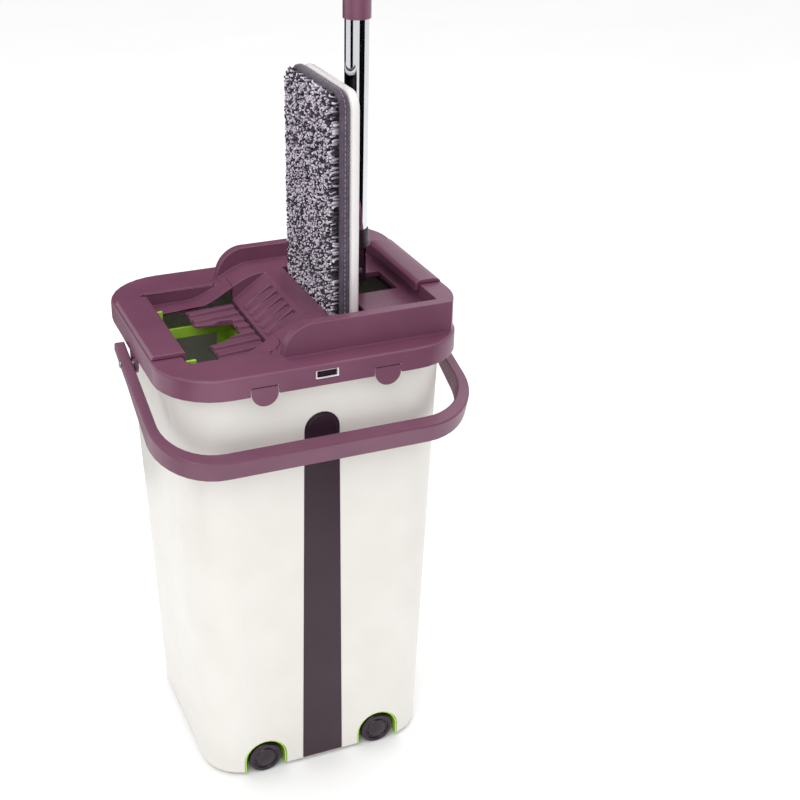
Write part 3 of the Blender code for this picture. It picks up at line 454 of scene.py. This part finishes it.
def strands(name, centres, radii, across, sides, look, body, stands_for=(), yarn=None):
    """Many short round strands: ring (n, i) of strand n stands at centres(n, i) with radius
    radii(n, i), in the plane of the curve's normal and of the fixed direction across(n)."""
    count, rings = radii.shape
    along = np.gradient(centres, axis=1)
    along /= np.linalg.norm(along, axis=2, keepdims=True)
    across = np.repeat(across[:, None, :], rings, 1)
    normal = np.cross(across, along)
    turn = 2 * np.pi * np.arange(sides) / sides
    spoke = (normal[:, :, None] * np.cos(turn)[:, None] + across[:, :, None] * np.sin(turn)[:, None])
    points = centres[:, :, None] + spoke * radii[:, :, None, None]
    one = grid_faces(rings, sides, close_columns=True)
    first = np.arange(count)[:, None, None] * rings * sides
    quads = (one[None] + first).reshape(-1, 4).tolist()
    cap = np.arange(sides)
    caps = np.stack([cap[::-1], cap + (rings - 1) * sides])[None] + first
    mesh = bpy.data.meshes.new(name)
    mesh.from_pydata(points.reshape(-1, 3).tolist(), [], quads + caps.reshape(-1, sides).tolist())
    if yarn is not None:
        height = np.repeat(np.tile(np.linspace(0, 1, rings), count), sides)
        # yarn is each strand's own colour; the second attribute is painted shade, 0 (darkest) at the root
        # and rising to 1 about halfway up
        for label, values in (("yarn", np.repeat(yarn, rings * sides)),
                              ("root", np.clip(height * 2.2 - 0.2, 0, 1))):
            layer = mesh.attributes.new(label, "FLOAT", "POINT")
            layer.data.foreach_set("value", values.astype(np.float32))
    return dress(name, mesh, look, body, 70, stands_for)


def mop_pad():
    """The pad: a ground that carries no yarn values, so it shows the darkest yarn tone under the full
    painted shade of the pile's roots, a deep pile of curled two-tone tufts, and a bound edge with a
    line of stitches. A tuft rises from its root and curls over sideways like a quarter of an ellipse."""
    middle = HEAD_HALF[0]
    root_x, low_x = PILE_X[1] + 0.0002, PILE_X[0] + 0.0030
    # the ground has no yarn or root-shade values, so both read 0: the darkest yarn tone under full
    # painted shade
    pad_layer("pad_ground", [(low_x, middle), (low_x, 0.0100), (low_x + 0.0012, 0.0060),
                             (low_x + 0.0035, 0.0042), (root_x, 0.0036), (root_x, middle)],
              LOOKS["chenille_pile"])
    front, back = TAPE_X
    pad_layer("pad_binding", [(front, middle), (front, 0.0040), (front + 0.0001, 0.0012),
                              (front + 0.0006, 0.0001), (front + 0.0014, -0.0004),
                              (front + 0.0030, -0.0006), (front + 0.0036, -0.0002),
                              (back - 0.0030, -0.0006), (back - 0.0012, -0.0004),
                              (back - 0.0004, 0.0002), (back, 0.0014), (back, middle)],
              BINDING, PUCKER)
    down, over = TUFTS
    count = down * over
    z, y = np.meshgrid(np.linspace(-1, 1, down), np.linspace(-1, 1, over), indexing="ij")
    y = y.ravel() * (HEAD_HALF[0] - TUFT_INSET) + SEED.normal(0, TUFT_SCATTER, count)
    z = z.ravel() * (HEAD_HALF[1] - TUFT_INSET) + SEED.normal(0, TUFT_SCATTER, count)
    room_y, room_z = HEAD_HALF[0] - np.abs(y), HEAD_HALF[1] - np.abs(z)
    corner = np.hypot(np.clip(HEAD_CORNER - room_y, 0, None), np.clip(HEAD_CORNER - room_z, 0, None))
    room = np.where(corner > 0, HEAD_CORNER - corner, np.minimum(room_y, room_z))
    keep = room > TUFT_ROOM
    y, z, room, room_y, room_z = (a[keep] for a in (y, z, room, room_y, room_z))
    count = len(y)
    turn = SEED.uniform(0, 2 * np.pi, count)
    lean = np.stack([np.cos(turn), np.sin(turn)], 1) * SEED.uniform(*TUFT_LEAN, count)[:, None]
    push = np.clip(EDGE_BAND - np.stack([room_y, room_z], 1), 0, None) * EDGE_LEAN
    lean += push * np.sign(np.stack([y, z], 1))
    size = np.linalg.norm(lean, axis=1)
    side = np.column_stack([np.zeros(count), lean / size[:, None]])
    depth = (PILE_X[1] - PILE_X[0]) * SEED.uniform(*TUFT_RISE, count)
    depth *= np.clip(EDGE_RISE[0] + room / EDGE_RISE[1], 0, 1)
    bend = np.linspace(0, TUFT_CURL, len(TUFT_SHAPE))
    centres = np.column_stack([np.full(count, root_x), y, z + HEAD_Z])[:, None]
    centres = centres + side[:, None] * (size[:, None] * (1 - np.cos(bend)))[:, :, None]
    centres = centres - np.array([1, 0, 0]) * (depth[:, None] * np.sin(bend))[:, :, None]
    radii = SEED.uniform(*TUFT_R, count)[:, None] * np.array(TUFT_SHAPE)
    across = np.cross(side, np.array([1.0, 0, 0]))
    dark = SEED.random(count) < DARK_PART
    yarn = np.where(dark, SEED.uniform(0.0, 0.34, count), SEED.uniform(0.55, 1.0, count))
    for name, part in (("pad_pile_upper", z >= 0), ("pad_pile_lower", z < 0)):
        pile = strands(name, centres[part], radii[part], across[part], 5, LOOKS["chenille_pile"],
                       "mop_head", ("mop_pad",), yarn[part])
    pad_stitches()


def pad_stitches():
    """Short stitches along the middle of the bound edge: each follows the outline for a stitch's
    length, rises in its middle and dips at its ends."""
    edge = pad_outline(-0.0004, FINE_STEPS)
    length = np.hypot(*np.diff(np.concatenate([edge, edge[:1]]), axis=0).T).sum()
    number = int(length / STITCH[0])
    reach = STITCH[1] / length * FINE_STEPS
    starts = np.arange(number)[:, None] * (FINE_STEPS / number)
    spots = (starts + np.linspace(0, reach, len(STITCH_R))).astype(int) % FINE_STEPS
    path = edge[spots]
    run = path[:, -1] - path[:, 0]
    out = np.stack([run[:, 1], -run[:, 0]], 1) / np.linalg.norm(run, axis=1)[:, None]
    path = path + out[:, None] * (np.array(STITCH_RISE) * MM)[None, :, None]
    middle = np.full((number, len(STITCH_R), 1), sum(TAPE_X) / 2)
    centres = np.concatenate([middle, path], 2)
    centres[:, :, 2] += HEAD_Z
    radii = np.tile(np.array(STITCH_R) * MM, (number, 1))
    strands("pad_stitches", centres, radii, np.tile(np.array([1.0, 0, 0]), (number, 1)), 6,
            STITCHING, "mop_head", ("mop_pad",))


# ---- camera, light and floor ----
def stage_set():
    """A pale floor, a soft sky and two large soft lights; dark flags, which only mirrors see, give
    the chrome its stripes."""
    camera = bpy.data.objects.new("camera", bpy.data.cameras.new("camera"))
    camera.location = CAMERA_PLACE
    camera.rotation_euler = [math.radians(angle) for angle in CAMERA_TURN]
    camera.data.lens = CAMERA_LENS
    camera.data.sensor_width = 36
    camera.data.shift_x, camera.data.shift_y = CAMERA_SHIFT
    camera.data.clip_start = 0.01
    bpy.context.scene.collection.objects.link(camera)
    bpy.context.scene.camera = camera
    bpy.context.scene.view_settings.view_transform = "Standard"
    world = bpy.data.worlds.new("studio_sky")
    bpy.context.scene.world = world
    world.use_nodes = True
    sky = world.node_tree.nodes["Background"]
    sky.inputs["Color"].default_value = (1.0, 1.0, 1.0, 1.0)
    sky.inputs["Strength"].default_value = SKY
    for name, place, aim, size, power in LAMPS:
        data = bpy.data.lights.new(name, "AREA")
        data.shape = "DISK"
        data.size = size
        data.energy = power
        lamp = bpy.data.objects.new(name, data)
        lamp.location = place
        away = np.array(aim) - np.array(place)
        flat = math.hypot(away[0], away[1])
        lamp.rotation_euler = (math.atan2(flat, -away[2]), 0, math.atan2(-away[0], away[1]))
        bpy.context.scene.collection.objects.link(lamp)
    floor_look, tree, shader, place = start_material("pale_studio_floor", Roughness=0.9,
                                                     Specular_IOR_Level=0.0)
    speck = add(tree, "TexNoise", {"Scale": 1 / (300 * MM), "Detail": 2.0}, {"Vector": place})
    tree.links.new(tone(tree, "fafafa", "ffffff", speck.outputs["Fac"]), shader.inputs["Base Color"])
    half = FLOOR_HALF
    mesh = bpy.data.meshes.new("floor")
    mesh.from_pydata([(-half, -half, FLOOR_Z), (half, -half, FLOOR_Z), (half, half, FLOOR_Z),
                      (-half, half, FLOOR_Z)], [], [(0, 1, 2, 3)])
    mesh.materials.append(floor_look)
    floor = bpy.data.objects.new("floor", mesh)
    bpy.context.scene.collection.objects.link(floor)
    dark, tree, shader, place = start_material("black_studio_flag", Roughness=1.0,
                                               Specular_IOR_Level=0.0)
    shader.inputs["Base Color"].default_value = (0.004, 0.004, 0.004, 1.0)
    toward = math.atan2(camera.location.y, camera.location.x - POLE_X)
    for number, (start, stop) in enumerate(FLAG_SPANS):
        turn = toward + np.radians(np.linspace(start, stop, FLAG_STEPS))
        rim = np.stack([POLE_X + FLAG_R * np.cos(turn), FLAG_R * np.sin(turn)], 1)
        low = np.column_stack([rim, np.full(FLAG_STEPS, FLOOR_Z)])
        high = np.column_stack([rim, np.full(FLAG_STEPS, FLAG_TOP)])
        mesh = bpy.data.meshes.new(f"flag_{number}")
        faces = grid_faces(2, FLAG_STEPS).tolist()
        mesh.from_pydata(np.concatenate([low, high]).tolist(), [], faces)
        mesh.materials.append(dark)
        flag = bpy.data.objects.new(f"flag_{number}", mesh)
        bpy.context.scene.collection.objects.link(flag)
        flag.visible_camera = False
        flag.visible_diffuse = False
        flag.visible_shadow = False
        flag.visible_transmission = False


# ---- the object ----
def carried_over():
    """Every CAD node gets the finish of its slot, and those whose shape is right keep showing."""
    for node, thing in frame["nodes"].items():
        thing.data.materials.clear()
        thing.data.materials.append(LOOKS[SLOTS[node]])


def moulded_parts():
    """Moulded pieces with the edge radius that each has."""
    for node, width in EDGE_RADII.items():
        moulded(node, width, node not in LEFT_IN_TRIANGLES)


def turned_parts():
    """Tubes, sleeve and wheels: all turned about their axes, with small rolled edges. A wheel's face
    has a flat rim, a ring sunk into it and a hub domed like half a cosine wave."""
    sleeve_wall = SLEEVE_R - TUBE_R - SLEEVE_ROOM
    for node, radius, wall, edge in (("lower_tube", TUBE_R, TUBE_WALL, TUBE_EDGE),
                                     ("upper_tube", TUBE_R, TUBE_WALL, TUBE_EDGE),
                                     ("pole_sleeve", SLEEVE_R, sleeve_wall, SLEEVE_EDGE)):
        low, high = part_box(node)
        low, high = low[2], high[2]
        outline = [(radius - wall, low), (radius - edge, low), (radius - 0.3 * edge, low + 0.3 * edge),
                   (radius, low + edge), (radius, high - edge),
                   (radius - 0.3 * edge, high - 0.3 * edge), (radius - edge, high),
                   (radius - wall, high)]
        turned_piece(node, outline, (POLE_X, 0, 0), "Z", LOOKS[SLOTS[node]], 72)
    for place in CORNERS:
        low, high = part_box("wheel_" + place)
        middle = (np.array(low) + np.array(high)) / 2
        sign = -1 if middle[1] < 0 else 1
        face, back, seat = WHEEL_FACE, WHEEL_FACE - WHEEL_WIDTH, WHEEL_FACE - WHEEL_SEAT
        ease = np.radians(np.linspace(0, 90, 6))
        tread = np.column_stack([WHEEL_R - WHEEL_EDGE + WHEEL_EDGE * np.cos(ease),
                                 face - WHEEL_EDGE + WHEEL_EDGE * np.sin(ease)])
        dome = np.linspace(HUB_R, 0.0, 10)
        rise = HUB_RISE[0] + HUB_RISE[1] * np.cos(dome / HUB_R * np.pi / 2)
        hub = np.column_stack([dome, face + rise])
        outline = np.concatenate([[(AXLE_BORE, back), (WHEEL_R - 0.0010, back),
                                   (WHEEL_R - 0.0003, back + 0.0003), (WHEEL_R, back + 0.0010)],
                                  tread, [(0.0124, face), (0.0117, face - 0.0004),
                                          (0.0112, face - 0.0013), (0.0099, face - 0.0013),
                                          (0.0093, face - 0.0008)], hub,
                                  [(0, seat), (AXLE_BORE, seat)]])
        outline[:, 1] *= sign
        turned_piece("wheel_" + place, outline, (middle[0], 0, middle[2]), "Y",
                     LOOKS[SLOTS["wheel_" + place]], 56)


def inlay_beads():
    """A fine raised bead that follows the round head of each inlay: a round section carried up one
    side, over a half circle and down the other, on the sloping wall."""
    turn = np.radians(np.linspace(0, 180, 25))
    down = np.linspace(*BEAD_LEGS, 5)
    x = np.concatenate([np.full(5, 1.0), np.cos(turn), np.full(5, -1.0)]) * INLAY_BEAD
    z = INLAY_TOP_Z + np.concatenate([-down, INLAY_BEAD * np.sin(turn), -down[::-1]])
    y = WALL_FOOT + (WALL_TOP - WALL_FOOT) * z / SKIRT_Z + 0.5 * MM
    radii = np.full((1, len(x)), BEAD_R)
    radii[0, [0, -1]] = 0.2 * MM
    for name, sign in (("front", -1), ("back", 1)):
        centres = np.stack([x, sign * y, z], 1)[None]
        strands("stripe_bead_" + name, centres, radii, np.array([[0, 1.0, 0]]), 10,
                LOOKS["plum_polypropylene"], "bucket")


def window_shade_inserts():
    """A ribbed insert in each skirt window, in dark plum as painted shade for the window's hollow: a
    ribbed outline carried across the window.
    """
    for place, sign in (("front", -1), ("back", 1)):
        low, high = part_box("catch_" + place)
        face = low[1] if sign < 0 else high[1]
        z = np.linspace(low[2] + 1.9 * MM, high[2] - 0.7 * MM, 41)
        ribs = 0.35 * MM + 0.2 * MM * np.cos(np.linspace(0, 10 * np.pi, 41))
        front = np.stack([face + sign * ribs, z], 1)
        back = np.array([[face - sign * 0.3 * MM, z[-1]], [face - sign * 0.3 * MM, z[0]]])
        loop = np.concatenate([front, back])
        x = np.linspace(low[0] + 1.2 * MM, high[0] - 2.2 * MM, 9)
        points = np.stack([np.column_stack([np.full(len(loop), spot), loop]) for spot in x])
        count = len(loop)
        faces = grid_faces(len(x), count, close_columns=True).tolist()
        faces += [list(range(count)), list(range((len(x) - 1) * count, len(x) * count))]
        # painted shade: the dark insert fills the window's hollow, leaving a cream edge that is widest at
        # the bottom and right
        piece_from("window_shade_insert_" + place, points, faces, LOOKS["dark_plum_nylon"], "bucket",
                   60)


stage_set()
carried_over()
moulded_parts()
turned_parts()
mop_pad()
inlay_beads()
window_shade_inserts()
